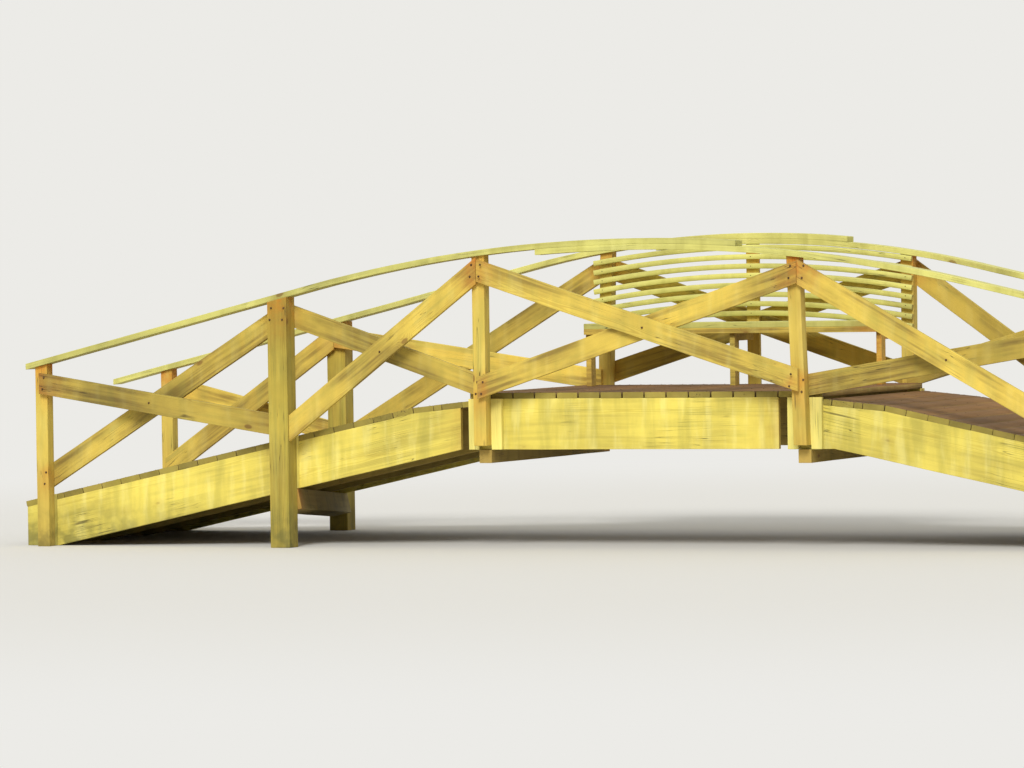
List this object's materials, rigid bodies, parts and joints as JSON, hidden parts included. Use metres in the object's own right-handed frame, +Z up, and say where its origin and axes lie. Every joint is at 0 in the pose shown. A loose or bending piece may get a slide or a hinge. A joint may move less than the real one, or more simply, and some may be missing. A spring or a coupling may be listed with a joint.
{
  "type": "wooden footbridge",
  "caption": "Timber footbridge with two ramps, a level middle span, X-braced sides, bent top rails, square piles and a slatted bench along one side.",
  "frame": {"origin": "on the ground under the middle of the level span", "axes": "+X along the bridge to the picture's right, +Y across it to the bench side, +Z up"},
  "size_m": [9.808, 2.4678, 2.066],
  "materials": {
    "beam_pine": "weathered sawn softwood",
    "joist_pine": "weathered sawn softwood",
    "pile_pine": "weathered sawn softwood",
    "post_pine": "weathered sawn softwood",
    "plate_pine": "weathered sawn softwood",
    "brace_pine": "weathered sawn softwood",
    "rail_pine": "weathered sawn softwood",
    "deck_pine": "weathered sawn softwood",
    "bench_pine": "weathered sawn softwood"
  },
  "bodies": {
    "root": {"near_left_end_beam": "beam_pine", "near_left_ramp_beam": "beam_pine", "near_span_beam": "beam_pine", "near_right_ramp_beam": "beam_pine", "near_right_end_beam": "beam_pine", "far_left_end_beam": "beam_pine", "far_left_ramp_beam": "beam_pine", "far_span_beam": "beam_pine", "far_right_ramp_beam": "beam_pine", "far_right_end_beam": "beam_pine", "left_ramp_joists": "joist_pine", "span_joists": "joist_pine", "right_ramp_joists": "joist_pine", "header_boards": "joist_pine", "end_boards": "joist_pine", "left_cross_beam": "joist_pine", "right_cross_beam": "joist_pine", "left_pile_cap": "pile_pine", "right_pile_cap": "pile_pine", "near_left_pile": "pile_pine", "near_right_pile": "pile_pine", "far_left_pile": "pile_pine", "far_right_pile": "pile_pine", "near_posts": "post_pine", "far_posts": "post_pine", "near_plates": "plate_pine", "far_plates": "plate_pine", "near_left_braces": "brace_pine", "near_span_braces": "brace_pine", "near_right_braces": "brace_pine", "far_left_braces": "brace_pine", "far_span_braces": "brace_pine", "far_right_braces": "brace_pine", "near_left_rail": "rail_pine", "near_right_rail": "rail_pine", "far_left_rail": "rail_pine", "far_right_rail": "rail_pine", "left_ramp_deck": "deck_pine", "span_deck": "deck_pine", "right_ramp_deck": "deck_pine", "bench_back": "bench_pine", "bench_seat": "bench_pine", "bench_frames": "bench_pine"}
  },
  "joints": []
}
